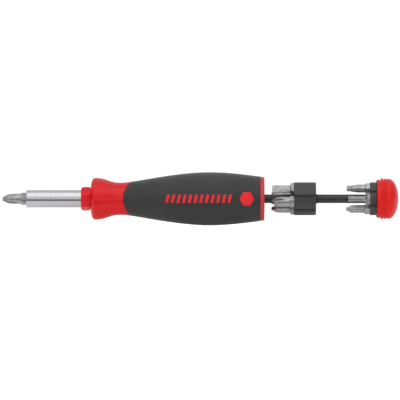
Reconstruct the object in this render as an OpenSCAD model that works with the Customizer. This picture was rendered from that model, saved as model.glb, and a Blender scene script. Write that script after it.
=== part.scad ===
// Pocket screwdriver with a captive pull-out bit magazine, shown drawn out.
// The X axis runs along the tool: the tip points to -X and the cap to +X.
// The origin is on the axis at the front face of the hexagonal collar, and +Z is up.

/* [Handle] */
// Length of the handle behind the collar's front face
handle_l = 110; // [108:1:125]
// Diameter of the nose at its fullest ring
nose_d = 25.1; // [24:0.1:28]
// Diameter of the waist behind the nose
waist_d = 19.4; // [18.4:0.1:21]
// Diameter of the belly
belly_d = 31.9; // [30:0.1:36]
// Diameter of the rear end
end_d = 26.3; // [26.2:0.1:30]
// Distance from the collar's face to the nose's fullest ring
nose_x = 8.3; // [8:0.1:10]
// Distance from the collar's face to the waist
waist_x = 24; // [22:0.5:26]
// Distance from the collar's face to the belly
belly_x = 76.4; // [70:0.1:82]

/* [Soft grip] */
// Thickness of the soft overmould
grip_t = 1.2; // [0.8:0.1:1.4]
// Length of the hard ring left bare behind the grip
ring_l = 2.5; // [1.5:0.1:5]
// Radius of the grip's rounded front edge, seen from the side
tongue_r = 13.45; // [12.5:0.05:14.5]
// Distance from the collar's face to the foremost point of the grip
tongue_x = 25.3; // [24:0.1:28]
// Width of the hexagonal window along the handle
mark_w = 8.6; // [6:0.1:10]
// Height of the hexagonal window
mark_h = 8.1; // [6:0.1:10]
// Distance from the handle's end to the window's centre
mark_from_end = 10.7; // [9:0.1:20]

/* [Collar and bit tube] */
// Width of the collar across its flats
collar_af = 12.6; // [12:0.1:14]
// Length of the collar
collar_l = 5.6; // [5:0.1:7]
// Turn of the collar about the axis, in degrees
collar_turn = 13; // [0:1:60]
// Outer diameter of the bit tube
tube_d = 10.4; // [10:0.1:11]
// Wall of the bit tube
tube_wall = 0.9; // [0.6:0.05:1]
// Length of the bit tube in front of the collar
tube_l = 32.9; // [30:0.1:60]
// Diameter of the socket magnet
magnet_d = 5.9; // [4:0.1:6]
// Length of the socket magnet
magnet_l = 4; // [3:0.5:6]

/* [Bits] */
// Width of a bit's hexagonal shank across its flats
bit_af = 6.35; // [6.2:0.01:6.4]
// Whole length of a bit
bit_l = 25; // [24:0.5:27]
// Length of a bit's hexagonal shank
hex_l = 14.1; // [13:0.1:16]
// Body diameter of the working bit
tip_body_d = 6.2; // [5:0.1:6.2]
// How far the working bit stands out of the tube
tip_reveal = 14.2; // [13:0.1:16]
// Body diameter of the large stored cross-head bit
large_cross_d = 6.1; // [5:0.1:6.2]
// Body diameter of the ribbed cross-head bit
ribbed_cross_d = 5; // [4.5:0.1:6]
// Body diameter of the small stored cross-head bit
small_cross_d = 4.7; // [4:0.1:6]
// Width of the slotted blade
blade_w = 4.5; // [3:0.1:6]
// Thickness of the slotted blade at its end
blade_t = 0.8; // [0.5:0.1:1.2]
// Point to point width of the smaller six-lobe tip
small_star_d = 3.35; // [2.4:0.05:4]
// Point to point width of the larger six-lobe tip
large_star_d = 3.95; // [3:0.05:5]
// Width of the hexagonal tip across its flats
hex_tip_af = 3; // [2:0.1:4]
// Width of the square tip across its flats
square_tip_af = 2.85; // [2:0.05:3.5]

/* [Magazine] */
// Travel of the magazine from closed to drawn out
draw = 69.8; // [60:0.1:69.8]
// Diameter of the magazine rod
rod_d = 5.2; // [5.1:0.05:5.3]
// Diameter of a bit block
block_d = 19.8; // [19.6:0.05:20]
// Length of a bit block
block_l = 13.3; // [13.2:0.1:15]
// Depth of a block's pockets
pocket_depth = 12; // [11.5:0.1:12.8]
// Distance from the axis to a pocket's centre
pocket_r = 6.15; // [6.1:0.01:6.2]
// Distance between the front faces of the two blocks
tier_pitch = 45.6; // [44:0.1:50]
// Turn of the front block about the rod, in degrees
front_turn = 17; // [0:1:90]
// Length of the rear block left in view in front of the cap
block_reveal = 3.9; // [2:0.1:5]

/* [Cap] */
// Length of the cap's skirt, which goes into the handle
skirt_l = 2.7; // [2:0.1:4]
// Diameter of the cap's skirt
skirt_d = 22.9; // [22.6:0.1:23]
// Diameter of the cap's front rib
front_rib_d = 25.1; // [24.4:0.1:26]
// Diameter of the cap's rear rib
rear_rib_d = 24.5; // [24.1:0.1:25]
// Diameter of the cap's dome
dome_d = 24; // [23.4:0.1:24.4]
// Height of the cap's dome
dome_h = 5.9; // [5:0.1:9]

/* [Hidden] */
$fn = 72;

// Fits and shared small sizes
running = 0.05;
seat_gap = 0.1;
magazine_gap = 0.3;
overrun = 0.5;
hex_clear = 0.1;
steps = 12;

// Handle outline: reach of the curve's handles along the axis, and the rounded edges
nose_round_h = 5.4;
waist_reach = 8;
belly_front_reach = 20;
belly_rear_reach = 12;
end_reach = 12;
end_slope_share = 0.128;
end_round = 0.7;

// Inside of the handle
bay_r = block_d/2 + magazine_gap;
bit_bay_r = pocket_r + large_cross_d/2 + magazine_gap;
tip_clear = 2;
bay_cone_l = 0.8;
collar_gap = 0.2;
spigot_d = 12.8;
spigot_l = 3.2;
shank_end_x = 20;
shank_wing_w = 13;
shank_wing_t = 2.4;
shank_wing_l = 5;
shank_chamfer = 0.6;
tube_embed = 12;
tube_step = 0.2;
tube_chamfer = 0.6;
socket_recess = 0.4;
socket_floor = 1;
socket_lead = 0.5;
collar_front_chamfer = 1.1;
collar_rear_chamfer = 0.6;
chamfer_slope_share = 1.1;

// Guide pin, bush and rod bore
pin_d = 2.2;
pin_root_x = 22;
pin_root_d = 4;
pin_root_l = 4;
pin_head_d = 2.6;
pin_head_l = 1.7;
pin_end_gap = 0.7;
bush_d = 3.7;
bush_l = 6.6;
bush_flange_d = 4.24;
bush_flange_l = 0.8;
bush_flange_from = 2;
rod_bore_d = 2.8;
rod_tail_l = 1.6;
ring_d = 5.7;
ring_seat_d = 4.4;
ring_w = 0.8;

// Bit blocks
block_chamfer = 0.4;
groove_d = 2;
groove_angle = 24.5;
groove_sink_share = 0.1;
pocket_lead = 0.3;

// Cap
skirt_lead = 0.7;
front_rib_l = 1.5;
rear_rib_l = 1.3;
rib_groove_l = 0.5;
rib_groove_depth = 0.4;
dome_land = 0.9;

// Bits: how far each stands off its pocket's floor, and the shapes of the tips
front_lifts = [0.6, 0.3, 0.3, 0];
rear_lifts = [0, 1.2, 0.3, 0.8];
hex_chamfer = 0.6;
cross_end_share = 0.36;
cross_cone_share = 0.47;
cross_shoulder_share = 0.92;
cross_core_share = 0.1;
cross_flute_tilt = 15;
cross_flute_half_angle = 43;
rib_width_share = 0.13;
rib_reach_share = 0.62;
star_root_share = 0.72;
star_valley_share = 0.24;
star_straight_share = 0.5;
star_cone_share = 1.9;
star_body_share = 1.42;
star_flute_tilt = 9;
key_straight_share = 2.3;
key_core_share = 0.6;
key_neck_share = 1.1;
key_flare_l = 1.1;
blade_turn = 30;
blade_flat_share = 0.35;
blade_root_share = 2.1;

// Places along the axis
collar_end_x = collar_l;
nose_face_x = collar_end_x + collar_gap;
grip_end_x = handle_l - ring_l;
tongue_centre_x = tongue_x + tongue_r;
mark_x = handle_l - mark_from_end;
cap_stop_x = handle_l + draw;
skirt_x = cap_stop_x - skirt_l;
rear_block_x = skirt_x - block_reveal;
front_block_x = rear_block_x - tier_pitch;
front_tip_x = front_block_x + pocket_depth - bit_l - max(front_lifts);
bay_floor_x = front_tip_x - draw - tip_clear;
bay_step_x = front_tip_x - draw + bit_l - hex_l - bay_cone_l;
pin_end_x = handle_l - pin_end_gap;
pin_head_x = pin_end_x - pin_head_l;
bush_x = pin_head_x - seat_gap - bush_l;
rod_x = bush_x - seat_gap;
rod_socket_x = rod_x - draw - seat_gap;
rod_bore_end_x = pin_end_x + draw + overrun;
cap_floor_x = rear_block_x + block_l;
rod_end_x = cap_floor_x + rod_tail_l;
tube_x = -tube_l;
tip_x = tube_x - tip_reveal;
magnet_x = tip_x + bit_l;
socket_end_x = magnet_x + magnet_l + socket_floor;

// Radii worked out from the sizes above
tube_r = tube_d/2;
tube_bore_r = tube_r - tube_wall;
tube_seat_r = tube_r - tube_step;
rod_r = rod_d/2;
block_r = block_d/2;
pocket_af = bit_af + hex_clear;
pocket_corner_r = corner_radius(pocket_af);
skirt_bore_r = skirt_d/2 + magazine_gap/2;

// Circumradius of a hexagon from its width across flats
function corner_radius(af) = af/2/cos(30);

// Points along a cubic curve with four control points, without its last point
function curve(a, b, c, d) = [
    for (i = [0:steps - 1])
        let (t = i/steps, u = 1 - t)
        u*u*u*a + 3*u*u*t*b + 3*u*t*t*c + t*t*t*d
];

// Points of a quarter ellipse with the given half axes, from one end angle to the other
function quarter(centre, across, up, from, to) = [
    for (i = [0:steps - 1])
        let (angle = from + (to - from)*i/steps)
        [centre[0] + across*cos(angle), centre[1] + up*sin(angle)]
];

// The handle's outer line from the nose face to the rear end, as [x, radius]
function handle_line() =
    let (
        nose = [nose_x, nose_d/2],
        waist = [waist_x, waist_d/2],
        belly = [belly_x, belly_d/2],
        rear = [handle_l - end_round, end_d/2],
        middle_x = (nose_x + waist_x)/2
    )
    concat(
        quarter([nose_x, nose_d/2 - nose_round_h], nose_x - nose_face_x, nose_round_h, 180, 90),
        curve(nose, [middle_x, nose[1]], [middle_x, waist[1]], waist),
        curve(waist, waist + [waist_reach, 0], belly - [belly_front_reach, 0], belly),
        curve(belly, belly + [belly_rear_reach, 0], rear + [-end_reach, end_slope_share*end_reach], rear),
        quarter([handle_l - end_round, end_d/2 - end_round], end_round, end_round, 90, 0),
        [[handle_l, end_d/2 - end_round]]
    );

// Turns a profile of [x, radius] points about the X axis
module turned(points) {
    rotate([90, 0, 90])
        rotate_extrude()
            polygon([for (p = points) [p[1], p[0]]]);
}

// A round bar along the X axis
module bar(from_x, to_x, radius) {
    translate([from_x, 0, 0])
        rotate([90, 0, 90])
            cylinder(h = to_x - from_x, r = radius);
}

// A bar along the X axis with the section of its 2D children, whose x becomes Y and y becomes Z
module section(from_x, to_x) {
    translate([from_x, 0, 0])
        rotate([90, 0, 90])
            linear_extrude(to_x - from_x)
                children();
}

// A hexagon with corners up and down and flats to the front and back
module hexagon(af) {
    rotate(90)
        circle(r = corner_radius(af), $fn = 6);
}

// Places a child at one of the four pockets of a bit block, counted from the front downwards
module at_pocket(turn, index) {
    rotate([turn + 90*index, 0, 0])
        translate([0, -pocket_r, 0])
            children();
}

// The whole handle's outer body, sunk by a given thickness
module handle_body(sink) {
    line = handle_line();
    turned(concat(
        [[nose_face_x, 0]],
        [for (p = line) [p[0], p[1] - sink]],
        [[handle_l, 0]]
    ));
}

// The space in front of the grip's rear edge and behind its rounded front edge
module grip_reach() {
    translate([tongue_centre_x, 0, 0])
        rotate([90, 0, 0])
            cylinder(h = 2*belly_d, r = tongue_r, center = true);
    bar(tongue_centre_x, grip_end_x, belly_d);
}

// The hexagonal window's prism, from the axis out through the front of the grip
module mark_prism() {
    corner = mark_w/2;
    edge = mark_w/4;
    translate([mark_x, 0, 0])
        rotate([90, 0, 0])
            linear_extrude(belly_d)
                polygon([
                    [-corner, 0], [-edge, -mark_h/2], [edge, -mark_h/2],
                    [corner, 0], [edge, mark_h/2], [-edge, mark_h/2]
                ]);
}

// The soft layer between the handle's outer line and the core
module grip_layer() {
    difference() {
        intersection() {
            handle_body(0);
            grip_reach();
        }
        handle_body(grip_t);
        mark_prism();
    }
}

// The shank's body: a round bar with a pair of keying wings
module shank_body() {
    turned([
        [socket_end_x, 0],
        [socket_end_x, tube_bore_r],
        [shank_end_x - shank_chamfer, tube_bore_r],
        [shank_end_x, tube_bore_r - shank_chamfer],
        [shank_end_x, 0]
    ]);
    section(shank_end_x - shank_chamfer - shank_wing_l, shank_end_x - shank_chamfer)
        square([shank_wing_t, shank_wing_w], center = true);
}

// The guide pin's body, with the broad root that anchors it and the head that stops the bush
module pin_body() {
    bar(pin_root_x, pin_end_x, pin_d/2);
    bar(pin_root_x, pin_root_x + pin_root_l, pin_root_d/2);
    bar(pin_head_x, pin_end_x, pin_head_d/2);
}

// Handle

module handle_core() {
    color("#d22328")
        difference() {
            handle_body(0);
            grip_layer();
            // Bay for the magazine, narrower round the tips of the front bits
            turned([
                [bay_floor_x, 0],
                [bay_floor_x, bit_bay_r],
                [bay_step_x, bit_bay_r],
                [bay_step_x + bay_cone_l, bay_r],
                [handle_l - skirt_l - seat_gap, bay_r],
                [handle_l - skirt_l - seat_gap, skirt_bore_r],
                [handle_l + overrun, skirt_bore_r],
                [handle_l + overrun, 0]
            ]);
            // Socket for the rod's end when the magazine is closed
            bar(rod_socket_x, bay_floor_x + overrun, rod_r + 2*running);
            bar(nose_face_x - overrun, nose_face_x - collar_gap + spigot_l, spigot_d/2);
            bar(nose_face_x, tube_embed, tube_seat_r);
            shank_body();
            pin_body();
        }
}

module soft_grip() {
    color("#434345")
        grip_layer();
}

module hex_collar() {
    corner_r = corner_radius(collar_af);
    color("#d92a33")
        difference() {
            union() {
                intersection() {
                    rotate([collar_turn, 0, 0])
                        section(0, collar_end_x)
                            hexagon(collar_af);
                    turned([
                        [0, 0],
                        [0, corner_r - chamfer_slope_share*collar_front_chamfer],
                        [collar_front_chamfer, corner_r],
                        [collar_end_x - collar_rear_chamfer, corner_r],
                        [collar_end_x, corner_r - chamfer_slope_share*collar_rear_chamfer],
                        [collar_end_x, 0]
                    ]);
                }
                bar(collar_end_x - overrun, collar_end_x + spigot_l, spigot_d/2);
            }
            bar(-overrun, collar_end_x + spigot_l + overrun, tube_seat_r);
        }
}

// Bit tube

// The tube steps down where it enters the collar, so that its shoulder seats on the collar's face
module tube_sleeve() {
    color("#c9cacc")
        turned([
            [tube_x, tube_bore_r],
            [tube_x, tube_r - tube_chamfer],
            [tube_x + tube_chamfer, tube_r],
            [0, tube_r],
            [0, tube_seat_r],
            [tube_embed, tube_seat_r],
            [tube_embed, tube_bore_r]
        ]);
}

module hex_socket() {
    mouth_x = tube_x + socket_recess;
    color("#8d8f92")
        difference() {
            bar(mouth_x, socket_end_x, tube_bore_r);
            section(mouth_x - overrun, magnet_x)
                hexagon(pocket_af);
            bar(magnet_x - overrun, socket_end_x - socket_floor, magnet_d/2);
            turned([
                [mouth_x - overrun, 0],
                [mouth_x - overrun, pocket_corner_r + overrun],
                [mouth_x + socket_lead, pocket_corner_r - socket_lead],
                [mouth_x + socket_lead, 0]
            ]);
        }
}

module socket_magnet() {
    color("#9a9ca0")
        bar(magnet_x + seat_gap, magnet_x + magnet_l, magnet_d/2);
}

module drive_shank() {
    color("#8d8f92")
        shank_body();
}

// Guide of the magazine

module guide_pin() {
    color("#b4b6b9")
        pin_body();
}

module guide_bush() {
    color("#b89a52")
        difference() {
            union() {
                bar(bush_x, bush_x + bush_l, bush_d/2);
                bar(bush_x + bush_flange_from, bush_x + bush_flange_from + bush_flange_l,
                    bush_flange_d/2);
            }
            bar(bush_x - overrun, bush_x + bush_l + overrun, pin_d/2 + running);
        }
}

module magazine_rod() {
    flange_x = bush_x + bush_flange_from;
    color("#2b2b2d")
        difference() {
            bar(rod_x, rod_end_x, rod_r);
            bar(rod_x - overrun, bush_x + bush_l + seat_gap/2, bush_d/2 + running);
            bar(flange_x - seat_gap, flange_x + bush_flange_l + seat_gap, bush_flange_d/2 + running);
            bar(rod_x, rod_bore_end_x, rod_bore_d/2);
            for (ring_x = [front_block_x - seat_gap/2 - ring_w, front_block_x + block_l + seat_gap/2])
                difference() {
                    bar(ring_x, ring_x + ring_w, rod_d);
                    bar(ring_x - overrun, ring_x + ring_w + overrun, ring_seat_d/2);
                }
        }
}

// Split retaining ring that sits in a groove of the rod
module rod_ring(ring_x) {
    split = ring_w/2;
    color("#232325")
        difference() {
            bar(ring_x, ring_x + ring_w, ring_d/2);
            bar(ring_x - overrun, ring_x + ring_w + overrun, ring_seat_d/2);
            translate([ring_x - overrun, -ring_d, -split/2])
                cube([ring_w + 2*overrun, ring_d, split]);
        }
}

module front_ring() {
    rod_ring(front_block_x - seat_gap/2 - ring_w);
}

module rear_ring() {
    rod_ring(front_block_x + block_l + seat_gap/2);
}

// Bit blocks

// A block with four hexagonal pockets, and grooves beside the front and the back pocket
module bit_block(block_x, turn, bore_r) {
    end_x = block_x + block_l;
    lead_r = pocket_corner_r + pocket_lead;
    color("#353537")
        difference() {
            turned([
                [block_x, bore_r],
                [block_x, block_r - block_chamfer],
                [block_x + block_chamfer, block_r],
                [end_x - block_chamfer, block_r],
                [end_x, block_r - block_chamfer],
                [end_x, bore_r]
            ]);
            for (index = [0:3])
                at_pocket(turn, index) {
                    section(block_x - overrun, block_x + pocket_depth)
                        hexagon(pocket_af);
                    intersection() {
                        turned([
                            [block_x - overrun, 0],
                            [block_x - overrun, lead_r + overrun],
                            [block_x + pocket_lead, lead_r - pocket_lead],
                            [block_x + pocket_lead, 0]
                        ]);
                        section(block_x - overrun, block_x + overrun)
                            hexagon(pocket_af + pocket_lead);
                    }
                }
            for (side = [0, 180], angle = [-groove_angle, groove_angle])
                rotate([turn + side + angle, 0, 0])
                    translate([0, groove_sink_share*groove_d - block_r, 0])
                        bar(block_x - overrun, end_x + overrun, groove_d/2);
        }
}

module front_bit_block() {
    bit_block(front_block_x, front_turn, rod_r + running);
}

module rear_bit_block() {
    bit_block(rear_block_x, 0, rod_r);
}

// Cap

module end_cap() {
    rib_x = cap_stop_x + front_rib_l;
    second_x = rib_x + rib_groove_l;
    dome_x = second_x + rear_rib_l + rib_groove_l + dome_land;
    dome_r = dome_d/2;
    valley_r = min(dome_r, rear_rib_d/2) - rib_groove_depth;
    color("#e0302c")
        turned(concat(
            [
                [rod_end_x, 0],
                [rod_end_x, rod_r],
                [cap_floor_x, rod_r],
                [cap_floor_x, block_r + running],
                [skirt_x, block_r + running],
                [skirt_x, skirt_d/2 - skirt_lead]
            ],
            quarter([skirt_x + skirt_lead, skirt_d/2 - skirt_lead], skirt_lead, skirt_lead, 180, 90),
            [[skirt_x + skirt_lead, skirt_d/2], [cap_stop_x, skirt_d/2]],
            rib_line(cap_stop_x, rib_x, skirt_d/2, valley_r, front_rib_d/2),
            rib_line(second_x, second_x + rear_rib_l, valley_r, valley_r, rear_rib_d/2),
            [[dome_x - dome_land, dome_r]],
            quarter([dome_x, 0], dome_h, dome_r, 90, 0),
            [[dome_x + dome_h, 0]]
        ));
}

// A rounded rib between two places, from the radius before it to the radius behind it
function rib_line(from_x, to_x, before_r, behind_r, top_r) =
    let (half = (to_x - from_x)/2)
    concat(
        [for (i = [0:steps - 1])
            let (angle = 180 - 90*i/steps)
            [from_x + half + half*cos(angle), before_r + (top_r - before_r)*sin(angle)]],
        [for (i = [0:steps])
            let (angle = 90 - 90*i/steps)
            [from_x + half + half*cos(angle), behind_r + (top_r - behind_r)*sin(angle)]]
    );

// Bits, each drawn with its tip at the origin and its shank towards +X

// The hexagonal shank with chamfered ends
module shank() {
    corner_r = corner_radius(bit_af);
    start_x = bit_l - hex_l;
    intersection() {
        section(start_x, bit_l)
            hexagon(bit_af);
        turned([
            [start_x, 0],
            [start_x, corner_r - 2*hex_chamfer],
            [start_x + hex_chamfer, corner_r],
            [bit_l - hex_chamfer, corner_r],
            [bit_l, corner_r - hex_chamfer],
            [bit_l, 0]
        ]);
    }
}

// A cross-head tip: a blunt cone with four flutes, and with small ribs between them if wanted
module cross_bit(body_d, ribbed) {
    body_r = body_d/2;
    end_r = cross_end_share*body_r;
    shoulder_r = cross_shoulder_share*body_r;
    cone_l = (shoulder_r - end_r)/cross_cone_share;
    core_r = cross_core_share*body_d;
    start_x = bit_l - hex_l;
    flute_l = bit_l - hex_l;
    module cone() {
        turned([
            [0, 0], [0, end_r], [cone_l, shoulder_r], [2*cone_l, body_r],
            [start_x + overrun, body_r], [start_x + overrun, 0]
        ]);
    }
    difference() {
        cone();
        for (quadrant = [0:3])
            rotate([45 + 90*quadrant, 0, 0])
                translate([0, 0, core_r])
                    rotate([0, -cross_flute_tilt, 0])
                        section(-body_d, flute_l)
                            polygon([
                                [0, 0],
                                [body_d*tan(cross_flute_half_angle), body_d],
                                [-body_d*tan(cross_flute_half_angle), body_d]
                            ]);
    }
    if (ribbed)
        intersection() {
            cone();
            for (quadrant = [0:1])
                rotate([45 + 90*quadrant, 0, 0])
                    section(0, flute_l)
                        square([rib_width_share*body_d, rib_reach_share*body_d], center = true);
        }
    shank();
}

// A six-lobe tip: a round bar that widens in a long cone, with six hollow flutes that run out along it
module star_bit(width) {
    straight_l = star_straight_share*width;
    body_r = star_body_share*width/2;
    root_r = star_root_share*width/2;
    valley_r = star_valley_share*width/2;
    start_x = bit_l - hex_l;
    difference() {
        turned([
            [0, 0], [0, width/2], [straight_l, width/2], [star_cone_share*width, body_r],
            [start_x + overrun, body_r], [start_x + overrun, 0]
        ]);
        for (lobe = [0:5])
            rotate([60*lobe + 30, 0, 0])
                translate([0, 0, root_r + valley_r])
                    rotate([0, -star_flute_tilt, 0])
                        bar(-overrun, start_x, valley_r);
    }
    shank();
}

// A prismatic tip, with the section of its 2D children, that flares into the shank
module key_bit(width) {
    straight_l = key_straight_share*width;
    flare_r = corner_radius(bit_af) - 2*hex_chamfer;
    start_x = bit_l - hex_l;
    neck_r = key_neck_share*width/2;
    section(0, start_x + overrun)
        children();
    turned([
        [straight_l, 0], [straight_l, key_core_share*width/2],
        [start_x - key_flare_l, neck_r], [start_x, flare_r],
        [start_x + overrun, flare_r], [start_x + overrun, 0]
    ]);
    shank();
}

// A slotted tip: a round body with two hollow-ground flats, parallel to two flats of the shank
module blade_bit() {
    start_x = bit_l - hex_l;
    flat_l = blade_flat_share*start_x;
    grind_r = blade_root_share*start_x;
    rotate([-blade_turn, 0, 0])
        intersection() {
            bar(0, start_x + overrun, blade_w/2);
            difference() {
                bar(0, start_x + overrun, blade_w);
                for (side = [-1, 1])
                    translate([flat_l, 0, side*(blade_t/2 + grind_r)])
                        rotate([90, 0, 0])
                            cylinder(h = 2*blade_w, r = grind_r, center = true);
                for (side = [0, 1])
                    mirror([0, 0, side])
                        translate([-overrun, -blade_w, blade_t/2])
                            cube([flat_l + overrun, 2*blade_w, blade_w]);
            }
        }
    shank();
}

// Places a bit in a pocket of the front block
module front_bit(index) {
    translate([front_block_x + pocket_depth - bit_l - front_lifts[index], 0, 0])
        at_pocket(front_turn, index)
            children();
}

// Places a bit in a pocket of the rear block
module rear_bit(index) {
    translate([rear_block_x + pocket_depth - bit_l - rear_lifts[index], 0, 0])
        at_pocket(0, index)
            children();
}

module tip_bit() {
    color("#8f9194")
        translate([tip_x, 0, 0])
            cross_bit(tip_body_d, false);
}

module front_phillips_bit() {
    color("#97999c")
        front_bit(0)
            cross_bit(large_cross_d, false);
}

module front_pozi_bit() {
    color("#97999c")
        front_bit(1)
            cross_bit(ribbed_cross_d, true);
}

module front_torx_bit() {
    color("#97999c")
        front_bit(2)
            star_bit(large_star_d);
}

module front_slotted_bit() {
    color("#97999c")
        front_bit(3)
            blade_bit();
}

module rear_hex_bit() {
    color("#97999c")
        rear_bit(0)
            key_bit(hex_tip_af)
                hexagon(hex_tip_af);
}

module rear_phillips_bit() {
    color("#97999c")
        rear_bit(1)
            cross_bit(small_cross_d, false);
}

module rear_square_bit() {
    color("#97999c")
        rear_bit(2)
            key_bit(square_tip_af)
                square(square_tip_af, center = true);
}

module rear_torx_bit() {
    color("#97999c")
        rear_bit(3)
            star_bit(small_star_d);
}

handle_core();
soft_grip();
hex_collar();
tube_sleeve();
hex_socket();
socket_magnet();
drive_shank();
guide_pin();
guide_bush();
magazine_rod();
front_ring();
rear_ring();
front_bit_block();
rear_bit_block();
end_cap();
tip_bit();
front_phillips_bit();
front_pozi_bit();
front_torx_bit();
front_slotted_bit();
rear_hex_bit();
rear_phillips_bit();
rear_square_bit();
rear_torx_bit();
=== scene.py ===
"""Looks for a pocket screwdriver whose bit magazine is drawn out of the handle.

Lengths in the file's own values are millimetres and become metres through MM.
X runs along the tool, with the tip at -X. The origin is at the front face of the hexagonal collar.
"""

import math
from typing import NamedTuple

import bmesh
import bpy
import numpy as np
from mathutils import Matrix, Vector


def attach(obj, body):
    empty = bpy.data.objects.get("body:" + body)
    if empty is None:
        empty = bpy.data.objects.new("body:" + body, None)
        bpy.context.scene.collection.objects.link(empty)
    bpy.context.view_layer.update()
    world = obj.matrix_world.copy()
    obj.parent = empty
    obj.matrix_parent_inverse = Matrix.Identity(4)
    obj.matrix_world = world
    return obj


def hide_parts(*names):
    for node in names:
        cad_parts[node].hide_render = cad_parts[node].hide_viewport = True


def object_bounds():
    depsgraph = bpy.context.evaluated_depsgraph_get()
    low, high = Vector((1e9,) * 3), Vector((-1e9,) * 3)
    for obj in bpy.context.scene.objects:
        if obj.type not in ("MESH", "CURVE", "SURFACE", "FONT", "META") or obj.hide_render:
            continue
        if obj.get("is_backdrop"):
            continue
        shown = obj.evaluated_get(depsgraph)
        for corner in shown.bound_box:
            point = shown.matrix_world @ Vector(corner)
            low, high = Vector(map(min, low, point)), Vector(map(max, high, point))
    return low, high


bl_info = {
    "name": "Pocket screwdriver",
    "version": (1, 0, 0),
    "blender": (4, 5, 0),
    "location": "View3D > Sidebar > Screwdriver",
    "description": "Builds the visible pieces and finishes of a pocket screwdriver with a bit magazine",
    "category": "Object",
}

MM = 0.001
FULL_TURN = 2 * math.pi
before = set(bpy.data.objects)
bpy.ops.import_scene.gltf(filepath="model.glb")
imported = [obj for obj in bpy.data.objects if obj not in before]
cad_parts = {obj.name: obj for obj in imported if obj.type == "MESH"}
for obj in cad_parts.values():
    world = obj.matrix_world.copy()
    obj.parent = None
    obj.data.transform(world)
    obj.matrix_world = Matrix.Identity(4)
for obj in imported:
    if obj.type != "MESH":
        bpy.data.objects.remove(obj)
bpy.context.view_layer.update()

# Outline of the handle, as places along the tool and radii
NOSE_FACE_X = 5.8
NOSE_X, NOSE_R = 8.3, 12.55
WAIST_X, WAIST_R = 24.0, 9.7
BELLY_X, BELLY_R = 76.4, 15.95
END_X, END_R = 110.0, 13.15
NOSE_ROUND_H = 5.4
WAIST_REACH = 8.0
BELLY_FRONT_REACH = 20.0
BELLY_REAR_REACH = 12.0
END_REACH = 12.0
END_SLOPE = 0.128
END_ROUND = 0.7
LINE_STEPS = 40

# Soft grip, with the tongue that runs forward from it
GRIP_END_X = 107.5
GRIP_T = 1.2
GRIP_MARGIN = 0.8
GRIP_STEPS = 130
TONGUE_X, TONGUE_R = 25.3, 13.45
TONGUE_FADE_FRONT_X, TONGUE_FADE_REAR_X = 18.0, 60.0
TONGUE_TRIES = 12
SEAM_ROUND = 0.22
SEAM_GAP = 0.05

# Red hexagon, and the window in the grip that it shows through
MARK_X, MARK_W, MARK_H = 99.3, 8.6, 8.1
MARK_FRONT_Y, MARK_BACK_Y = -BELLY_R - 1, -12.3
MARK_CELLS = 8
WINDOW_GAP, WINDOW_BACK_Y = 0.12, -11.9

# Bars inlaid in the grip: width as a share of their pitch, lean, thickness and bevel
BAR_SHARE = 0.5
BAR_SLANT = 0.22
BAR_T = 0.4
BAR_EDGE = 0.03

# Inside of the handle, from the spigot in the nose to the mouth behind the grip
SPIGOT_R, SPIGOT_END_X = 6.42, 8.8
ROD_HOLE_X, ROD_HOLE_R = 30.9, 2.7
BAY_FLOOR_X, BAY_NARROW_R = 42.2, 9.5
BAY_STEP_X, BAY_R = 54.3, 10.2
BAY_CONE_L = 0.8
MOUTH_STEP_X, MOUTH_R = 107.2, 11.6
CORE_EDGE = 0.15
CORE_STEPS = 60
# Room that the core's outline keeps before and after its step at the tongue
STEP_FRONT_L, STEP_REAR_L = 0.5, 2.0
# Where the core's bare ring starts to turn a paler and duller red
PALE_RING_X = GRIP_END_X - 0.2

# Bit tube, with the lead at the mouth of its bore
TUBE_TIP_X, TUBE_SEAT_X = -32.9, 12.0
TUBE_R, TUBE_BORE_R, TUBE_SEAT_R = 5.2, 4.3, 5.0
TUBE_ROUND = 0.55
LEAD_L, LEAD_H = 0.3, 0.2

# End cap: skirt, two finger ribs with a valley between them, dome, and the rod's seat inside
SKIRT_X, SKIRT_R, SKIRT_BORE_R = 177.1, 11.45, 9.95
SKIRT_ROUND = 0.7
RIB_1_X, RIB_1_END_X, RIB_1_R = 179.8, 181.3, 12.55
RIB_2_X, RIB_2_END_X, RIB_2_R = 181.8, 183.1, 12.25
VALLEY_R = 11.6
LAND_X, LAND_DROP = 183.6, 0.05
DOME_X, DOME_R, DOME_H = 184.5, 12.0, 5.9
CAP_FLOOR_X = 186.5
ROD_SEAT_X, ROD_SEAT_R = 188.1, 2.6
# Painted shade on the skirt's front edge, where the block's shade falls: from where it is darkest to where
# it ends
PAINTED_SHADE_X, PAINTED_SHADE_END_X = SKIRT_X + 0.4, SKIRT_X + 1.0

# Bevels of the collar and of the bits, as shares of the common edge
COLLAR_EDGE_SHARE, BIT_EDGE_SHARE = 1.6, 0.25

# Distances in metres within which points lie on the axis, or are one, or make a sliver
ON_AXIS, TURNED_WELD, CAD_WELD, CAD_SLIVER = 1e-9, 1e-7, 2e-6, 1e-6
# Turn in degrees that still counts as flat
FLAT_TURN = 0.4

# Studio: sizes and places in metres
CAMERA_AIM = Vector((71.36, 0, -0.72)) * MM
SENSOR_W = 36
OVERHEAD_BOX = (1.4, 0.8, (0.07, -0.42, 0.72))
FRONT_BOX = (1.6, 1.0, (-0.2, -1.3, 0.55))
FLOOR_X, FLOOR_W, FLOOR_DROP = 0.07, 8, 0.0002
CARD_X, CARD_Y, CARD_W, CARD_D = 0.05, -0.078, 0.6, 0.1
CARD_LIFT = 0.002

# Brightness of the surroundings by height, from straight down at 0 to straight up at 1
SKY = ((0.0, 0.7), (0.5, 0.75), (0.6, 0.7), (0.7, 0.6), (0.85, 0.7), (1.0, 0.75))
# Factors on that brightness: dimmer behind the camera and at both sides
FADE_BEHIND = {"From Min": -1.0, "From Max": -0.7, "To Min": 0.83, "To Max": 1.05}
FADE_SIDES = {"From Min": 0.55, "From Max": 1.0, "To Min": 1.0, "To Max": 0.45}
# Brightness of the white that the camera sees behind the tool
BACKDROP_POWER = 1.05
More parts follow.
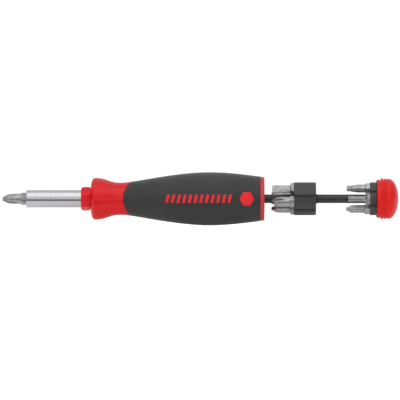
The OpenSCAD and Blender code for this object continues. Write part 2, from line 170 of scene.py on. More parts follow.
# How strongly the floor glows to reflections, and to the camera
FLOOR_GLOW = {"To Min": 0.2, "To Max": 0.6}


def linear(code):
    """An sRGB hex colour as the linear values that Blender's colour sockets take."""
    channels = [int(code[i : i + 2], 16) / 255 for i in (1, 3, 5)]
    return tuple(c / 12.92 if c <= 0.04045 else ((c + 0.055) / 1.055) ** 2.4 for c in channels)


def colour_property(name, description, code):
    """A user colour whose default is an sRGB hex code."""
    return bpy.props.FloatVectorProperty(
        name=name, description=description, subtype="COLOR", size=3, min=0, max=1, default=linear(code)
    )


def length_property(name, description, millimetres):
    """A user length whose default is given in millimetres."""
    return bpy.props.FloatProperty(
        name=name,
        description=description,
        default=millimetres * MM,
        min=0,
        unit="LENGTH",
        subtype="DISTANCE",
    )


def power_property(name, description, watts):
    """A user light power."""
    return bpy.props.FloatProperty(
        name=name, description=description, default=watts, min=0, subtype="POWER"
    )


class ScrewdriverColours(bpy.types.PropertyGroup):
    """Colours of the finishes"""

    core: colour_property("Core", "Translucent red of the handle's hard core", "#d61118")
    ring: colour_property("Ring", "Paler and duller red of the core's bare rear ring", "#c2393d")
    collar: colour_property("Collar", "Red of the hexagonal collar", "#dd1422")
    cap: colour_property("Cap", "Opaque red of the end cap", "#e01a17")
    grip: colour_property("Grip", "Dark grey of the soft overmould", "#2d2d2e")
    bars: colour_property("Bars", "Red of the inlaid bars and of the hexagon", "#e6232b")
    block: colour_property("Block", "Black of the bit blocks", "#343435")
    oxide: colour_property("Oxide", "Black of the rod and its rings", "#363637")
    stainless: colour_property("Tube", "Stainless steel of the bit tube", "#c6c6c8")
    bit: colour_property("Bits", "Grey of the bits' blasted steel", "#acacae")


class ScrewdriverSizes(bpy.types.PropertyGroup):
    """Sizes of the details that only the render has"""

    bar_count: bpy.props.IntProperty(
        name="Bars", description="Number of slanted bars inlaid in the grip", default=12, min=1, max=40
    )
    bars_start: length_property("Bars from", "Place of the first bar along the handle", 50.2)
    bars_length: length_property("Bars' length", "Length of the row of bars", 40.6)
    bar_height: length_property("Bar height", "Height of a bar across the handle", 5.0)
    bar_lift: length_property("Bar lift", "How far a bar stands proud of the grip", 0.04)
    edge: length_property("Edge", "Width of the small bevel on moulded and machined edges", 0.12)
    grain: length_property("Grain", "Size of the grip's spark-eroded grain", 0.45)


class ScrewdriverStage(bpy.types.PropertyGroup):
    """Settings of the studio"""

    view_width: length_property("View width", "Width that the camera sees at the tool's axis", 240)
    distance: length_property("Distance", "Distance of the camera from the tool's axis", 4000)
    overhead: power_property("Overhead light", "Power of the softbox above the tool", 2.6)
    front: power_property("Front light", "Power of the fill light beside the camera", 1.8)
    floor: colour_property("Floor", "Colour of the plain floor", "#f6f6f6")


# Shapes


def bezier(a, b, c, d, steps):
    """Points along a cubic curve with four control points, without its last point."""
    t = np.linspace(0, 1, steps, endpoint=False)[:, None]
    a, b, c, d = (np.array(p, float) for p in (a, b, c, d))
    curve = (1 - t) ** 3 * a + 3 * (1 - t) ** 2 * t * b + 3 * (1 - t) * t**2 * c + t**3 * d
    return [tuple(p) for p in curve]


def arc(centre, across, up, start, stop, steps):
    """Points of an ellipse's arc between two angles in degrees, without its last point."""
    turns = np.radians(np.linspace(start, stop, steps, endpoint=False))
    return [(centre[0] + across * math.cos(t), centre[1] + up * math.sin(t)) for t in turns]


def handle_line():
    """The handle's outer line from the nose face to the rear end, as points of (x, radius)."""
    nose, waist, belly = (NOSE_X, NOSE_R), (WAIST_X, WAIST_R), (BELLY_X, BELLY_R)
    rear = (END_X - END_ROUND, END_R)
    middle = (NOSE_X + WAIST_X) / 2
    waist_handle = (WAIST_X + WAIST_REACH, WAIST_R)
    belly_front_handle = (BELLY_X - BELLY_FRONT_REACH, BELLY_R)
    belly_rear_handle = (BELLY_X + BELLY_REAR_REACH, BELLY_R)
    rear_handle = (rear[0] - END_REACH, END_R + END_SLOPE * END_REACH)
    nose_round = (NOSE_X, NOSE_R - NOSE_ROUND_H)
    return (
        arc(nose_round, NOSE_X - NOSE_FACE_X, NOSE_ROUND_H, 180, 90, steps=LINE_STEPS // 2)
        + bezier(nose, (middle, NOSE_R), (middle, WAIST_R), waist, LINE_STEPS)
        + bezier(waist, waist_handle, belly_front_handle, belly, LINE_STEPS)
        + bezier(belly, belly_rear_handle, rear_handle, rear, LINE_STEPS)
        + arc((rear[0], END_R - END_ROUND), END_ROUND, END_ROUND, 90, 0, steps=6)
        + [(END_X, END_R - END_ROUND)]
    )


LINE = handle_line()
LINE_X, LINE_R = np.array(LINE).T


def handle_radius(x):
    """Radius of the handle's outer line at a place along it."""
    return float(np.interp(x, LINE_X, LINE_R))


def sunk_point(x, depth=0.0):
    """A profile point that lies a depth under the handle's outer line."""
    return (x, handle_radius(x) - depth)


def tongue_edge(angle):
    """Place of the grip's front edge at an angle round the handle.

    Seen from the front, the tongue's cut is round. How high it is met depends on the handle's radius, which
    depends on the place, so the place is found in a few tries.
    """
    x = TONGUE_X
    for _ in range(TONGUE_TRIES):
        height = handle_radius(x) * math.sin(angle)
        x = TONGUE_X + TONGUE_R - math.sqrt(TONGUE_R**2 - height**2)
    return x


def follow_tongue(bm):
    """Moves the rings of a turned mesh along the handle, so that one of them follows the tongue's edge.

    Rings deeper than the grip stay, and so do those past the places where the shift has faded out.
    """
    for v in bm.verts:
        x, y, z = (c / MM for c in v.co)
        radius = math.hypot(y, z)
        sunk = handle_radius(x) - radius
        if not TONGUE_FADE_FRONT_X < x < TONGUE_FADE_REAR_X or sunk > GRIP_T + 2 * SEAM_GAP:
            continue
        share = (x - TONGUE_FADE_FRONT_X) / (TONGUE_X - TONGUE_FADE_FRONT_X)
        if x > TONGUE_X:
            share = (TONGUE_FADE_REAR_X - x) / (TONGUE_FADE_REAR_X - TONGUE_X)
        new_x = x + share * (tongue_edge(math.atan2(z, y)) - TONGUE_X)
        scale = (handle_radius(new_x) - sunk) / radius
        v.co = Vector((new_x, y * scale, z * scale)) * MM


def turned(profile, steps=160):
    """A bmesh of a profile of (x, radius) points, turned about the tool's axis. Its ends are closed."""
    bm = bmesh.new()
    verts = [bm.verts.new((x * MM, 0, r * MM)) for x, r in profile]
    edges = [bm.edges.new(pair) for pair in zip(verts, verts[1:] + verts[:1])]
    axis_edges = [e for e in edges if max(v.co.z for v in e.verts) < ON_AXIS]
    bmesh.ops.delete(bm, geom=axis_edges, context="EDGES_FACES")
    bmesh.ops.spin(
        bm,
        geom=bm.verts[:] + bm.edges[:],
        cent=(0, 0, 0),
        axis=(1, 0, 0),
        angle=FULL_TURN,
        steps=steps,
        use_merge=True,
    )
    bmesh.ops.remove_doubles(bm, verts=bm.verts, dist=TURNED_WELD)
    bmesh.ops.recalc_face_normals(bm, faces=bm.faces)
    return bm


def soften(bm, width, angle=28, segments=3):
    """Bevels the edges that turn by more than an angle in degrees."""
    sharp = [e for e in bm.edges if len(e.link_faces) == 2 and e.calc_face_angle(0) > math.radians(angle)]
    bmesh.ops.bevel(
        bm,
        geom=sharp,
        offset=width,
        offset_type="OFFSET",
        segments=segments,
        profile=0.5,
        affect="EDGES",
        clamp_overlap=True,
        material=-1,
    )


def new_object(name, bm):
    """An object of a bmesh, with its place in its mesh. The bmesh is used up."""
    mesh = bpy.data.meshes.new(name)
    bm.to_mesh(mesh)
    bm.free()
    made = bpy.data.objects.new(name, mesh)
    bpy.context.scene.collection.objects.link(made)
    return made


def make_piece(name, bm, body, finish, nodes=(), smooth_angle=30):
    """Makes a piece of a bmesh with its finish, and lets it ride on a body in place of CAD nodes."""
    piece = new_object(name, bm)
    mesh = piece.data
    mesh.polygons.foreach_set("use_smooth", [True] * len(mesh.polygons))
    mesh.set_sharp_from_angle(angle=math.radians(smooth_angle))
    mesh.materials.append(finish)
    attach(piece, body)
    if nodes:
        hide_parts(*nodes)
    return piece


def merged_copy(node):
    """A bmesh of a CAD node's mesh with its loose triangles joined and its flat faces made whole."""
    bm = bmesh.new()
    bm.from_mesh(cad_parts[node].data)
    bmesh.ops.remove_doubles(bm, verts=bm.verts, dist=CAD_WELD)
    bmesh.ops.dissolve_degenerate(bm, edges=bm.edges, dist=CAD_SLIVER)
    flat = math.radians(FLAT_TURN)
    bmesh.ops.dissolve_limit(bm, angle_limit=flat, verts=bm.verts, edges=bm.edges)
    bmesh.ops.recalc_face_normals(bm, faces=bm.faces)
    return bm


def cut(piece, tool_bm):
    """Cuts a closed bmesh out of a piece."""
    cutter = new_object("cutter", tool_bm)
    modifier = piece.modifiers.new("cut", "BOOLEAN")
    modifier.operation = "DIFFERENCE"
    modifier.solver = "EXACT"
    modifier.object = cutter
    graph = bpy.context.evaluated_depsgraph_get()
    result = bpy.data.meshes.new_from_object(piece.evaluated_get(graph))
    piece.modifiers.clear()
    spent = (piece.data, cutter.data)
    piece.data = result
    bpy.data.objects.remove(cutter)
    for mesh in spent:
        bpy.data.meshes.remove(mesh)


def hexagon_prism(gap, front_y, back_y):
    """A bmesh of the window's hexagon, grown by a gap, from one place across the handle to another."""
    half_w, half_h = MARK_W / 2 + gap, MARK_H / 2 + gap
    corners = (
        (-half_w, 0),
        (-half_w / 2, -half_h),
        (half_w / 2, -half_h),
        (half_w, 0),
        (half_w / 2, half_h),
        (-half_w / 2, half_h),
    )
    bm = bmesh.new()
    face = bm.faces.new([bm.verts.new(((MARK_X + x) * MM, back_y * MM, z * MM)) for x, z in corners])
    made = bmesh.ops.extrude_face_region(bm, geom=[face])["geom"]
    front = [g for g in made if isinstance(g, bmesh.types.BMVert)]
    bmesh.ops.translate(bm, verts=front, vec=(0, (front_y - back_y) * MM, 0))
    bmesh.ops.recalc_face_normals(bm, faces=bm.faces)
    return bm


def domed_hexagon():
    """A bmesh of the red hexagon, divided into cells so that its front can follow the handle's round."""
    bm = hexagon_prism(0, MARK_FRONT_Y, MARK_BACK_Y)
    # The outermost cuts stay just inside the hexagon's corners
    cell = 0.98 * MARK_W / 2 / MARK_CELLS
    for axis in (Vector((1, 0, 0)), Vector((0, 0, 1))):
        for i in range(-MARK_CELLS, MARK_CELLS + 1):
            spot = Vector((MARK_X, 0, 0)) + axis * (i * cell)
            geom = bm.verts[:] + bm.edges[:] + bm.faces[:]
            bmesh.ops.bisect_plane(bm, geom=geom, plane_co=spot * MM, plane_no=axis)
    bmesh.ops.recalc_face_normals(bm, faces=bm.faces)
    for v in bm.verts:
        x, y, z = (c / MM for c in v.co)
        if y < (MARK_FRONT_Y + MARK_BACK_Y) / 2:
            v.co.y = -math.sqrt(handle_radius(x) ** 2 - z**2) * MM
    return bm


def rib(start_x, end_x, front_r, rear_r, top_r):
    """Profile of a round finger rib that rises from one radius and falls to another."""
    half, middle = (end_x - start_x) / 2, (start_x + end_x) / 2
    return (
        arc((middle, front_r), half, top_r - front_r, 180, 90, steps=8)
        + arc((middle, rear_r), half, top_r - rear_r, 90, 0, steps=7)
        + [(end_x, rear_r)]
    )


# Finishes


def add_node(tree, kind, settings=None, links=None, output=0):
    """Adds a shader node with its settings and input links, and gives one of its outputs.

    A setting is a property of the node or an input.
    """
    node = tree.nodes.new("ShaderNode" + kind)
    for key, value in (settings or {}).items():
        if isinstance(key, str) and hasattr(node, key):
            setattr(node, key, value)
        else:
            node.inputs[key].default_value = value
    for key, source in (links or {}).items():
        tree.links.new(node.inputs[key], source)
    return node.outputs[output] if node.outputs else None


def new_material(name):
    """An empty material and its node tree."""
    material = bpy.data.materials.new(name)
    material.use_nodes = True
    material.node_tree.nodes.clear()
    return material, material.node_tree


def shade(colour, factor):
    """A colour made lighter or darker."""
    return tuple(min(1.0, c * factor) for c in colour)


class Pattern(NamedTuple):
    """A noise pattern: the size of its features in millimetres, and how fine and how rough they are.

    stretch draws it out along X, Y and Z. low and high bound the part of its range that shows in full.
    A real size named in a finish is the usual one for such a surface, because the photograph doesn't
    show it.
    """

    size: float
    detail: float = 2.0
    roughness: float = 0.5
    stretch: tuple = (1, 1, 1)
    low: float = 0.3
    high: float = 0.7


def pattern_value(tree, pattern):
    """The value of a pattern at each place on a piece."""
    place = add_node(tree, "TexCoord", output="Object")
    scale = [1 / times for times in pattern.stretch]
    stretched = add_node(tree, "Mapping", {"Scale": scale}, {"Vector": place})
    grain = {"Scale": 1 / (pattern.size * MM), "Detail": pattern.detail, "Roughness": pattern.roughness}
    return add_node(tree, "TexNoise", grain, {"Vector": stretched})


def patterned_finish(name, colour, constants, tint, gloss, relief, band=None, lay=None):
    """A material whose colour, roughness and relief each follow a pattern.

    tint and gloss hold a Pattern and what it moves between: factors on the colour, and roughnesses.
    relief holds a Pattern and its depth in millimetres. band holds a colour and the places along the tool
    where it sets in and where it covers. lay is the axis that the metal's lines run round.
    """
    material, tree = new_material(name)
    mottle, darkest, lightest = tint
    shown = {"From Min": mottle.low, "From Max": mottle.high}
    share = add_node(tree, "MapRange", shown, {"Value": pattern_value(tree, mottle)})
    tints = {6: (*shade(colour, darkest), 1), 7: (*shade(colour, lightest), 1)}
    base = add_node(tree, "Mix", {"data_type": "RGBA", **tints}, {0: share}, output=2)
    if band:
        over, start_x, stop_x = band
        place = add_node(tree, "TexCoord", output="Object")
        along = add_node(tree, "SeparateXYZ", links={0: place}, output="X")
        reach = {"From Min": start_x * MM, "From Max": stop_x * MM}
        cover = add_node(tree, "MapRange", reach, {"Value": along})
        base = add_node(tree, "Mix", {"data_type": "RGBA", 7: (*over, 1)}, {0: cover, 6: base}, output=2)
    wear, smoothest, roughest = gloss
    spread = {"From Min": wear.low, "From Max": wear.high, "To Min": smoothest, "To Max": roughest}
    roughness = add_node(tree, "MapRange", spread, {"Value": pattern_value(tree, wear)})
    texture, depth = relief
    bump = {"Strength": 1.0, "Distance": depth * MM}
    normal = add_node(tree, "Bump", bump, {"Height": pattern_value(tree, texture)})
    links = {"Base Color": base, "Roughness": roughness, "Normal": normal}
    if lay:
        links["Tangent"] = add_node(tree, "Tangent", {"direction_type": "RADIAL", "axis": lay})
    shader = add_node(tree, "BsdfPrincipled", constants, links)
    add_node(tree, "OutputMaterial", links={"Surface": shader})
    return material


def translucent_acetate(colour, pale_ring_colour):
    """Injection-moulded clear-tinted red plastic: light spreads inside it, so its edges glow.

    Its skin has a soft gloss, and its red clouds faintly over about 9 mm. The bare ring behind the grip
    is coloured a paler and duller red.
    """
    fine = Pattern(1.5, detail=1)
    return patterned_finish(
        "translucent red acetate, moulded",
        colour,
        {
            "IOR": 1.48,
            "Subsurface Weight": 0.12,
            "Subsurface Radius": (1.0, 0.12, 0.1),
            "Subsurface Scale": 2.0 * MM,
            "Specular IOR Level": 0.32,
        },
        tint=(Pattern(9, detail=1), 0.93, 1.07),
        gloss=(fine, 0.22, 0.28),
        relief=(fine, 0.004),
        band=(pale_ring_colour, PALE_RING_X, GRIP_END_X),
    )


def moulded_red(name, colour, roughness, shine=0.25, painted_shade=None):
    """Opaque injection-moulded red plastic with a fine texture that breaks up its soft gloss.

    The real texture is about 0.1 mm and too fine to show, so it is drawn coarser.
    The last argument holds two places along the tool: painted shade makes the plastic dark at the first and
    is gone by the second.
    """
    fine = Pattern(0.4, detail=3)
    return patterned_finish(
        name,
        colour,
        {"IOR": 1.5, "Specular IOR Level": shine},
        tint=(Pattern(6, detail=1), 0.95, 1.05),
        gloss=(fine, roughness - 0.04, roughness + 0.05),
        relief=(fine, 0.008),
        # The band is painted shade: a darker copy of the colour laid over the skirt's front edge
        band=(shade(colour, 0.3), painted_shade[1], painted_shade[0]) if painted_shade else None,
    )


def soft_touch_rubber(colour, grain_mm):
    """Thermoplastic rubber moulded in a spark-eroded tool: a matt grain with a faint velvety sheen.

    The real grain is about 0.05 mm and too fine to show, so it is drawn coarser.
    """
    grain = Pattern(grain_mm, detail=3, roughness=0.6, low=0.35, high=0.65)
    return patterned_finish(
        "soft-touch rubber, spark-eroded grain",
        colour,
        {"IOR": 1.5, "Sheen Weight": 0.3, "Sheen Roughness": 0.4, "Specular IOR Level": 0.5},
        tint=(grain, 0.86, 1.14),
        gloss=(Pattern(14), 0.58, 0.7),
        relief=(grain, 0.035),
    )


def turned_stainless(colour):
    """Stainless tube, turned and fine-polished: faint rings round it draw its highlights into long lines.

    The real lines are a few hundredths of a millimetre apart and are drawn coarser.
    """
    rings = Pattern(0.12, detail=3, roughness=0.65, stretch=(1, 25, 25))
    return patterned_finish(
        "stainless steel, turned and polished",
        colour,
        {"Metallic": 1.0, "Anisotropic": 0.5},
        tint=(rings, 0.92, 1.04),
        gloss=(Pattern(7, detail=3), 0.2, 0.23),
        relief=(rings, 0.004),
        lay="X",
    )


def blasted_steel(name, colour, roughness):
    """Hardened tool steel, bead-blasted: an even grey with a fine sparkle.

    The real grain is about 0.05 mm and too fine to show, so it is drawn coarser.
    """
    grain = Pattern(0.22, detail=3, roughness=0.6)
    return patterned_finish(
        name,
        colour,
        {"Metallic": 1.0},
        tint=(Pattern(2.5, detail=3), 0.74, 1.14),
        gloss=(grain, roughness - 0.06, roughness + 0.06),
        relief=(grain, 0.012),
    )


def moulded_nylon(colour):
    """Glass-filled black nylon: a dull, slightly mottled skin with smoother patches about 5 mm across.

    The real fibres are about 0.3 mm long and are drawn coarser.
    """
    fibre = Pattern(0.6, detail=4, roughness=0.65)
    return patterned_finish(
        "glass-filled nylon, moulded black",
        colour,
        {"IOR": 1.53},
        tint=(fibre, 0.85, 1.25),
        gloss=(Pattern(5), 0.42, 0.55),
        relief=(fibre, 0.012),
    )


def black_oxide(colour):
    """Steel blackened in a hot salt bath: a thin dark satin skin over drawn metal with fine long lines.

    The real lines are less than 0.1 mm apart and are drawn coarser.
    """
    lines = Pattern(0.25, detail=3, stretch=(20, 1, 1))
    return patterned_finish(
        "black oxide on drawn steel",
        colour,
        {"Metallic": 0.55, "Specular IOR Level": 0.6},
        tint=(lines, 0.85, 1.3),
        gloss=(lines, 0.34, 0.46),
        relief=(lines, 0.003),
    )


def machined_metal(name, colour, roughness):
    """Metal of the small inner pieces: a satin face with fine rings, as a lathe leaves it.

    Real rings are about 0.1 mm apart, so these are drawn coarser.
    """
    rings = Pattern(0.2, stretch=(1, 20, 20))
    return patterned_finish(
        name,
        colour,
        {"Metallic": 1.0},
        tint=(rings, 0.88, 1.08),
        gloss=(rings, roughness - 0.05, roughness + 0.05),
        relief=(rings, 0.004),
    )


def dress_node(node, finish):
    """Gives its finish to a CAD node that shows as it is."""
    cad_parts[node].data.materials[0] = finish


# Pieces


def colours():
    """The colours that the panel shows."""
    return bpy.context.scene.screwdriver_colours


def sizes():
    """The sizes that the panel shows."""
    return bpy.context.scene.screwdriver_sizes


class SCREWDRIVER_OT_core(bpy.types.Operator):
    """Hard red core: the nose, the ring behind the grip and the bay that the magazine slides into"""

    bl_idname = "screwdriver.core"
    bl_label = "Core"

    def execute(self, context):
        under = GRIP_T + SEAM_GAP
        ring_x = GRIP_END_X + SEAM_GAP + CORE_EDGE
        nose = [p for p in LINE if NOSE_FACE_X < p[0] < TONGUE_X - STEP_FRONT_L]
        profile = (
            [(SPIGOT_END_X, 0), (SPIGOT_END_X, SPIGOT_R), (NOSE_FACE_X, SPIGOT_R)]
            + nose
            + [sunk_point(TONGUE_X - SEAM_GAP), sunk_point(TONGUE_X, under)]
            + [sunk_point(x, under) for x in np.linspace(TONGUE_X + STEP_REAR_L, GRIP_END_X, CORE_STEPS)]
            + [(GRIP_END_X + SEAM_GAP, handle_radius(GRIP_END_X) - under)]
            + arc(sunk_point(ring_x, CORE_EDGE), CORE_EDGE, CORE_EDGE, 180, 90, steps=4)
            + [p for p in LINE if p[0] > ring_x]
            + [
                (END_X, MOUTH_R + CORE_EDGE),
                (END_X - CORE_EDGE, MOUTH_R),
                (MOUTH_STEP_X, MOUTH_R),
                (MOUTH_STEP_X, BAY_R),
                (BAY_STEP_X + BAY_CONE_L, BAY_R),
                (BAY_STEP_X, BAY_NARROW_R),
                (BAY_FLOOR_X, BAY_NARROW_R),
                (BAY_FLOOR_X, ROD_HOLE_R),
                (ROD_HOLE_X, ROD_HOLE_R),
                (ROD_HOLE_X, 0),
            ]
        )
        bm = turned(profile)
        follow_tongue(bm)
        bmesh.ops.recalc_face_normals(bm, faces=bm.faces)
        finish = translucent_acetate(colours().core, colours().ring)
        make_piece("core_body", bm, "handle", finish, ["handle_core"])
        return {"FINISHED"}


class SCREWDRIVER_OT_grip(bpy.types.Operator):
    """Soft grey grip with its rounded edges, and the red hexagon that shows through its window"""

    bl_idname = "screwdriver.grip"
    bl_label = "Grip"

    def execute(self, context):
        front, rear = TONGUE_X, GRIP_END_X
        turn = np.radians(np.linspace(0, 90, 6))
        rounded = [(SEAM_ROUND * (1 - math.cos(t)), SEAM_ROUND * (1 - math.sin(t))) for t in turn]
        profile = (
            [sunk_point(front + inward, depth) for inward, depth in rounded]
            + [sunk_point(x) for x in np.linspace(front + GRIP_MARGIN, rear - GRIP_MARGIN, GRIP_STEPS)]
            + [sunk_point(rear - inward, depth) for inward, depth in reversed(rounded)]
            + [sunk_point(rear, GRIP_T), sunk_point(front, GRIP_T)]
        )
        bm = turned(profile)
        follow_tongue(bm)
        bmesh.ops.recalc_face_normals(bm, faces=bm.faces)
        rubber = soft_touch_rubber(colours().grip, sizes().grain / MM)
        grip = make_piece("grip_skin", bm, "handle", rubber, ["soft_grip"])
        cut(grip, hexagon_prism(WINDOW_GAP, MARK_FRONT_Y, WINDOW_BACK_Y))
        grip.data.set_sharp_from_angle(angle=math.radians(32))

        plug = domed_hexagon()
        soften(plug, sizes().edge, angle=40)
        inlay = moulded_red("inlaid hexagon, hard red plastic", colours().bars, 0.34)
        make_piece("grip_hexagon", plug, "handle", inlay)
        return {"FINISHED"}


class SCREWDRIVER_OT_bars(bpy.types.Operator):
    """Row of plain slanted bars inlaid in the front of the grip"""

    bl_idname = "screwdriver.bars"
    bl_label = "Bars"

    def execute(self, context):
        size = sizes()
        pitch = size.bars_length / size.bar_count
        bm = bmesh.new()
        for i in range(size.bar_count):
            made = bmesh.ops.create_grid(bm, x_segments=4, y_segments=10, size=0.5)["verts"]
            bmesh.ops.scale(bm, vec=(pitch * BAR_SHARE, size.bar_height, 1), verts=made)
            bmesh.ops.rotate(bm, verts=made, matrix=Matrix.Rotation(math.pi / 2, 3, "X"))
            bmesh.ops.translate(bm, verts=made, vec=(size.bars_start + pitch * (i + 0.5), 0, 0))
        for v in bm.verts:
            v.co.x += BAR_SLANT * v.co.z
            reach = handle_radius(v.co.x / MM) * MM
            v.co.y = -math.sqrt(reach**2 - v.co.z**2) - size.bar_lift
        bmesh.ops.solidify(bm, geom=bm.faces, thickness=BAR_T * MM)
        bmesh.ops.recalc_face_normals(bm, faces=bm.faces)
        soften(bm, BAR_EDGE * MM, angle=60, segments=2)
        inlay = moulded_red("inlaid bars, hard red plastic", colours().bars, 0.36)
        make_piece("grip_bars", bm, "handle", inlay)
        return {"FINISHED"}


class SCREWDRIVER_OT_collar(bpy.types.Operator):
    """Red hexagonal collar that carries the bit tube"""

    bl_idname = "screwdriver.collar"
    bl_label = "Collar"

    def execute(self, context):
        bm = merged_copy("hex_collar")
        soften(bm, sizes().edge * COLLAR_EDGE_SHARE, angle=20)
        finish = moulded_red("hexagonal collar, moulded red nylon", colours().collar, 0.26)
        make_piece("collar", bm, "handle", finish, ["hex_collar"], smooth_angle=25)
        return {"FINISHED"}


class SCREWDRIVER_OT_tube(bpy.types.Operator):
    """Stainless bit tube, and the socket, shank and magnet inside the tool"""

    bl_idname = "screwdriver.tube"
    bl_label = "Bit tube"

    def execute(self, context):
        edge_r = TUBE_R - TUBE_ROUND
        profile = (
            [(TUBE_TIP_X + LEAD_L, TUBE_BORE_R), (TUBE_TIP_X, TUBE_BORE_R + LEAD_H)]
            + arc((TUBE_TIP_X + TUBE_ROUND, edge_r), TUBE_ROUND, TUBE_ROUND, 180, 90, steps=8)
            + [(TUBE_TIP_X + TUBE_ROUND, TUBE_R), (0, TUBE_R)]
            + [(0, TUBE_SEAT_R), (TUBE_SEAT_X, TUBE_SEAT_R), (TUBE_SEAT_X, TUBE_BORE_R)]
        )
        bm = turned(profile, steps=128)
        finish = turned_stainless(colours().stainless)
        make_piece("bit_tube", bm, "handle", finish, ["tube_sleeve"])
        # Turned steel is grey and satin. The magnet's nickel plate is smoother, with a warm tinge.
        steel = machined_metal("socket steel, turned", linear("#8e8f92"), 0.34)
        nickel = machined_metal("nickel plate", linear("#b4b2ac"), 0.2)
        dress_node("hex_socket", steel)
        dress_node("drive_shank", steel)
        dress_node("socket_magnet", nickel)
        return {"FINISHED"}


class SCREWDRIVER_OT_guide(bpy.types.Operator):
    """Guide pin and bush inside the rod, the rod itself and its two retaining rings"""

    bl_idname = "screwdriver.guide"
    bl_label = "Guide and rod"

    def execute(self, context):
        # Drawn wire is pale and bright. The bush is turned brass, a satin yellow.
        dress_node("guide_pin", machined_metal("drawn steel wire", linear("#b9babd"), 0.26))
        dress_node("guide_bush", machined_metal("turned brass", linear("#c9a75a"), 0.28))
        oxide = black_oxide(colours().oxide)
        dress_node("front_ring", oxide)
        dress_node("rear_ring", oxide)
        bm = merged_copy("magazine_rod")
        soften(bm, sizes().edge, angle=40, segments=2)
        make_piece("rod", bm, "magazine", oxide, ["magazine_rod"], smooth_angle=25)
        return {"FINISHED"}


class SCREWDRIVER_OT_blocks(bpy.types.Operator):
    """The two black blocks with their hexagonal pockets"""

    bl_idname = "screwdriver.blocks"
    bl_label = "Bit blocks"

    def execute(self, context):
        nylon = moulded_nylon(colours().block)
        for name, node, body in (
            ("front_block", "front_bit_block", "front_block"),
            ("rear_block", "rear_bit_block", "magazine"),
        ):
            bm = merged_copy(node)
            soften(bm, sizes().edge, angle=35, segments=2)
            make_piece(name, bm, body, nylon, [node], smooth_angle=25)
        return {"FINISHED"}


class SCREWDRIVER_OT_bits(bpy.types.Operator):
    """The working bit and the eight stored bits"""

    bl_idname = "screwdriver.bits"
    bl_label = "Bits"

    def execute(self, context):
        finish = blasted_steel("tool steel, bead-blasted", colours().bit, 0.36)
        for node in sorted(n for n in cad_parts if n.endswith("_bit")):
            bm = merged_copy(node)
            soften(bm, sizes().edge * BIT_EDGE_SHARE, angle=24, segments=2)
            make_piece("steel_" + node, bm, node, finish, [node], smooth_angle=24)
        return {"FINISHED"}


class SCREWDRIVER_OT_cap(bpy.types.Operator):
    """Red end cap with its two finger ribs and its dome"""

    bl_idname = "screwdriver.cap"
    bl_label = "End cap"

    def execute(self, context):
        edge_x, edge_r = SKIRT_X + SKIRT_ROUND, SKIRT_R - SKIRT_ROUND
        profile = (
            [(ROD_SEAT_X, 0), (ROD_SEAT_X, ROD_SEAT_R), (CAP_FLOOR_X, ROD_SEAT_R)]
            + [(CAP_FLOOR_X, SKIRT_BORE_R), (SKIRT_X, SKIRT_BORE_R)]
            + arc((edge_x, edge_r), SKIRT_ROUND, SKIRT_ROUND, 180, 90, steps=6)
            + [(edge_x, SKIRT_R)]
            + rib(RIB_1_X, RIB_1_END_X, SKIRT_R, VALLEY_R, RIB_1_R)
            + rib(RIB_2_X, RIB_2_END_X, VALLEY_R, VALLEY_R, RIB_2_R)
            + [(LAND_X, DOME_R - LAND_DROP)]
            + arc((DOME_X, 0), DOME_H, DOME_R, 90, 0, steps=40)
            + [(DOME_X + DOME_H, 0)]
        )
        bm = turned(profile)
        # Painted shade on the skirt's front edge, where the block's shade falls
        painted_shade = (PAINTED_SHADE_X, PAINTED_SHADE_END_X)
        finish = moulded_red("end cap, moulded red ABS", colours().cap, 0.3, painted_shade=painted_shade)
        make_piece("cap", bm, "magazine", finish, ["end_cap"], smooth_angle=50)
        return {"FINISHED"}


# Studio


def area_light(name, power, width, depth, place):
    """A soft rectangular light that looks at the tool."""
    light = bpy.data.lights.new(name, "AREA")
    light.shape = "RECTANGLE"
    light.size = width
    light.size_y = depth
    light.energy = power
    lamp = bpy.data.objects.new(name, light)
    lamp.location = place
    lamp.rotation_mode = "QUATERNION"
    lamp.rotation_quaternion = (CAMERA_AIM - Vector(place)).to_track_quat("-Z", "Y")
    lamp.visible_camera = False
    bpy.context.scene.collection.objects.link(lamp)


def level_board(name, width, depth, place, material):
    """A level board that belongs to the stage."""
    bm = bmesh.new()
    bmesh.ops.create_grid(bm, x_segments=1, y_segments=1, size=0.5)
    bmesh.ops.scale(bm, vec=(width, depth, 1), verts=bm.verts)
    bmesh.ops.translate(bm, vec=place, verts=bm.verts)
    board = new_object(name, bm)
    board.data.materials.append(material)
    board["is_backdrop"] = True
    return board


def white_board(colour):
    """Matt white board that the camera sees as lit from below. It throws back less light than it shows."""
    material, tree = new_material("matt white board")
    seen = add_node(tree, "LightPath", output="Is Camera Ray")
    glow = add_node(tree, "MapRange", FLOOR_GLOW, {"Value": seen})
    pale = (*colour, 1)
    constants = {"Base Color": pale, "Roughness": 0.9, "Emission Color": pale}
    shader = add_node(tree, "BsdfPrincipled", constants, {"Emission Strength": glow})
    add_node(tree, "OutputMaterial", links={"Surface": shader})
    return material


def matt_black_card():
    """Uncoated black card: it throws back almost no light."""
    material, tree = new_material("matt black card")
    black = (*linear("#191919"), 1)
    shader = add_node(tree, "BsdfPrincipled", {"Base Color": black, "Roughness": 0.9})
    add_node(tree, "OutputMaterial", links={"Surface": shader})
    return material


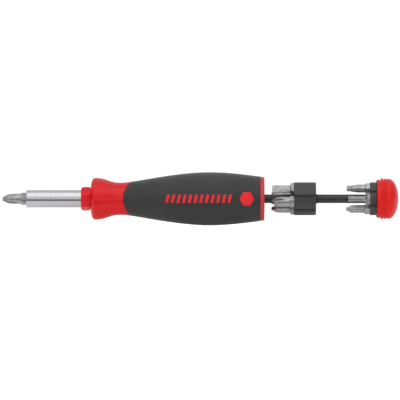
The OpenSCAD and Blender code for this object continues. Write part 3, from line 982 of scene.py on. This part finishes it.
def studio_world():
    """Pale surroundings, white where the camera looks.

    They are dimmer towards both ends of the tool and behind the camera.
    """
    world = bpy.data.worlds.new("studio")
    bpy.context.scene.world = world
    world.use_nodes = True
    tree = world.node_tree
    tree.nodes.clear()
    direction = add_node(tree, "TexCoord", output="Generated")
    x, y, z = (add_node(tree, "SeparateXYZ", links={0: direction}, output=axis) for axis in "XYZ")
    height = add_node(tree, "MapRange", {"From Min": -1.0, "From Max": 1.0}, {"Value": z})
    sky = add_node(tree, "ValToRGB", links={"Fac": height})
    stops = sky.node.color_ramp.elements
    for index, (spot, level) in enumerate(SKY):
        # A new ramp comes with two stops
        stop = stops[index] if index < 2 else stops.new(spot)
        stop.position = spot
        stop.color = (level, level, level, 1)
    behind = add_node(tree, "MapRange", FADE_BEHIND, {"Value": y})
    sideways = add_node(tree, "Math", {"operation": "ABSOLUTE"}, {0: x})
    sides = add_node(tree, "MapRange", FADE_SIDES, {"Value": sideways})
    power = add_node(tree, "Math", {"operation": "MULTIPLY"}, {0: behind, 1: sides})
    around = add_node(tree, "Background", links={"Color": sky, "Strength": power})
    white = (*linear("#ffffff"), 1)
    backdrop = add_node(tree, "Background", {"Color": white, "Strength": BACKDROP_POWER})
    seen = add_node(tree, "LightPath", output="Is Camera Ray")
    mixed = add_node(tree, "MixShader", links={0: seen, 1: around, 2: backdrop})
    add_node(tree, "OutputWorld", links={"Surface": mixed})


class SCREWDRIVER_OT_stage(bpy.types.Operator):
    """Pale floor, soft light and the camera at the photograph's angle"""

    bl_idname = "screwdriver.stage"
    bl_label = "Stage"

    def execute(self, context):
        settings = context.scene.screwdriver_stage
        floor_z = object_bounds()[0].z
        floor_place = (FLOOR_X, 0, floor_z - FLOOR_DROP)
        level_board("floor", FLOOR_W, FLOOR_W, floor_place, white_board(settings.floor))
        # A low black card in front of the tool draws the dark line along the tube.
        # Only reflections show it.
        card_place = (CARD_X, CARD_Y, floor_z + CARD_LIFT)
        card = level_board("black_card", CARD_W, CARD_D, card_place, matt_black_card())
        card.visible_camera = card.visible_diffuse = card.visible_transmission = card.visible_shadow = False
        studio_world()
        area_light("overhead softbox", settings.overhead, *OVERHEAD_BOX)
        area_light("front fill", settings.front, *FRONT_BOX)

        camera = bpy.data.cameras.new("camera")
        camera.sensor_width = SENSOR_W
        camera.lens = SENSOR_W * settings.distance / settings.view_width
        camera.clip_start = 0.01
        camera.clip_end = 100
        eye = bpy.data.objects.new("camera", camera)
        eye.location = CAMERA_AIM + Vector((0, -settings.distance, 0))
        eye.rotation_euler = (math.pi / 2, 0, 0)
        context.scene.collection.objects.link(eye)
        context.scene.camera = eye
        context.scene.view_settings.view_transform = "Standard"
        return {"FINISHED"}


class SCREWDRIVER_PT_panel(bpy.types.Panel):
    """Lists the steps and the settings of the screwdriver"""

    bl_idname = "SCREWDRIVER_PT_panel"
    bl_label = "Pocket screwdriver"
    bl_space_type = "VIEW_3D"
    bl_region_type = "UI"
    bl_category = "Screwdriver"

    def draw(self, context):
        for step in STEPS:
            self.layout.operator(step.bl_idname, text=step.bl_label)
        for name in GROUPS:
            group = getattr(context.scene, name)
            for setting in group.__annotations__:
                self.layout.prop(group, setting)


STEPS = (
    SCREWDRIVER_OT_core,
    SCREWDRIVER_OT_grip,
    SCREWDRIVER_OT_bars,
    SCREWDRIVER_OT_collar,
    SCREWDRIVER_OT_tube,
    SCREWDRIVER_OT_guide,
    SCREWDRIVER_OT_blocks,
    SCREWDRIVER_OT_bits,
    SCREWDRIVER_OT_cap,
    SCREWDRIVER_OT_stage,
)
GROUPS = {
    "screwdriver_colours": ScrewdriverColours,
    "screwdriver_sizes": ScrewdriverSizes,
    "screwdriver_stage": ScrewdriverStage,
}
CLASSES = (*GROUPS.values(), *STEPS, SCREWDRIVER_PT_panel)


def register():
    """Registers the classes and ties the settings to the scene."""
    for cls in CLASSES:
        bpy.utils.register_class(cls)
    for name, group in GROUPS.items():
        setattr(bpy.types.Scene, name, bpy.props.PointerProperty(type=group))


def unregister():
    """Takes the settings and the classes away again."""
    for name in GROUPS:
        delattr(bpy.types.Scene, name)
    for cls in reversed(CLASSES):
        bpy.utils.unregister_class(cls)


def main():
    """Builds the tool and its stage."""
    register()
    for step in STEPS:
        area, name = step.bl_idname.split(".")
        getattr(getattr(bpy.ops, area), name)()


if __name__ == "__main__":
    main()
